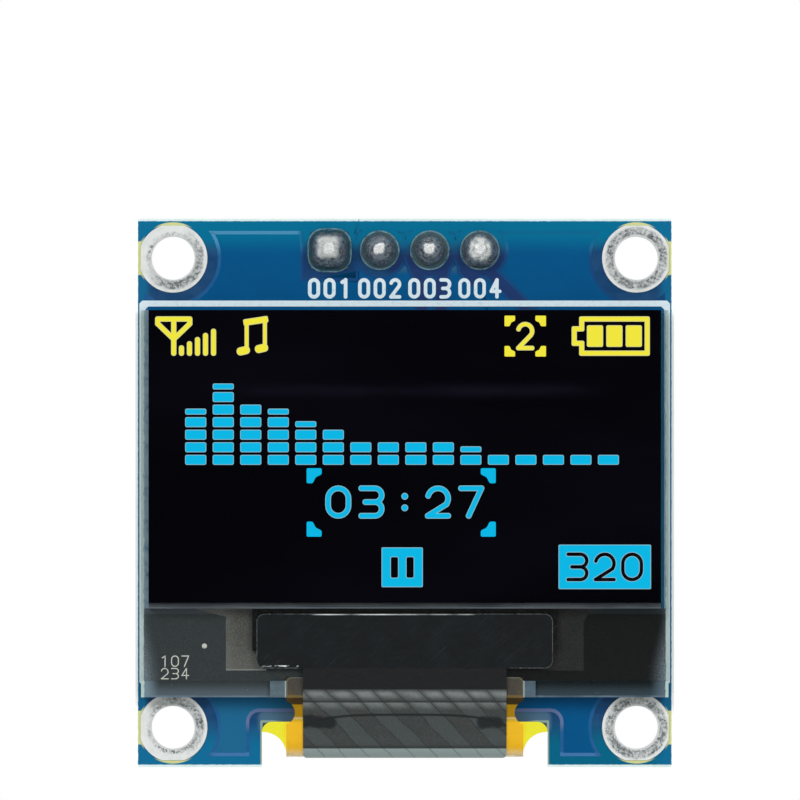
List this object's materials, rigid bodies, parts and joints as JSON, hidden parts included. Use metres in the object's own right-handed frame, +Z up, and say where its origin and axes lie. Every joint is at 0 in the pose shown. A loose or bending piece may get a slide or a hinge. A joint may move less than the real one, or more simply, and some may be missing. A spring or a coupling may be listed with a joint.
{
  "type": "small oled display module",
  "caption": "Small glass display panel on a square circuit board, with a flex cable folded through a notch to the rear and a soldered pin header.",
  "frame": {"origin": "middle of the four mounting holes, on the circuit board's front face", "axes": "+Z up towards the pin header, +X to the viewer's right, and the display looks along -Y"},
  "size_m": [0.0274, 0.0117, 0.0278],
  "materials": {
    "board": "blue solder mask on glass-epoxy laminate, bare at the edges",
    "tin": "tinned copper, scuffed",
    "solder": "hand-soldered, grey with bright tips",
    "white_ink": "screen-printed ink",
    "header_plastic": "moulded, fine matt",
    "pin_metal": "gold-flashed brass",
    "tape": "double-sided foam tape",
    "glass": "clear display glass with cut edges",
    "dark_film": "thin dark metal film on glass",
    "pale_film": "fine metal tracks on glass",
    "seal": "cured epoxy",
    "polariser": "black, smooth",
    "lit_yellow": "lit display, yellow zone",
    "lit_blue": "lit display, blue zone",
    "silicon": "bare silicon chip",
    "sealant": "black silicone",
    "black_film": "thin black film, lightly scratched",
    "polyimide": "amber polyimide film",
    "glue": "clear glue",
    "contact": "gold-flashed copper",
    "chip_body": "moulded epoxy",
    "capacitor": "fired ceramic",
    "resistor": "black glaze over alumina"
  },
  "bodies": {
    "root": {"circuit_board": "board", "hole_plating_1": "tin", "hole_plating_2": "tin", "hole_plating_3": "tin", "hole_plating_4": "tin", "printed_frame": "white_ink", "header_body": "header_plastic", "header_pin_1": "pin_metal", "header_pin_2": "pin_metal", "header_pin_3": "pin_metal", "header_pin_4": "pin_metal", "pin_pad_1": "tin", "pin_pad_2": "tin", "pin_pad_3": "tin", "pin_pad_4": "tin", "solder_joint_1": "solder", "solder_joint_2": "solder", "solder_joint_3": "solder", "solder_joint_4": "solder", "tape_upper": "tape", "tape_lower": "tape", "rear_glass": "glass", "electrode_film": "dark_film", "track_film": "pale_film", "glass_seal": "seal", "light_layer": "seal", "front_glass": "glass", "polariser": "polariser", "lit_icons": "lit_yellow", "lit_meter": "lit_blue", "lit_keys": "lit_blue", "driver_chip": "silicon", "chip_sealant": "sealant", "bond_strip": "seal", "black_film": "black_film", "flex_cable": "polyimide", "contact_pads": "contact", "contact_solder": "solder", "glue_bead_left": "glue", "glue_bead_right": "glue", "regulator_body": "chip_body", "regulator_leads": "tin", "capacitor_1": "capacitor", "capacitor_2": "capacitor", "capacitor_3": "capacitor", "capacitor_4": "capacitor", "capacitor_5": "capacitor", "capacitor_6": "capacitor", "capacitor_7": "capacitor", "resistor_1": "resistor", "resistor_2": "resistor", "resistor_3": "resistor", "resistor_4": "resistor", "resistor_5": "resistor", "chip_terminals": "tin", "chip_solder": "solder"}
  },
  "joints": []
}
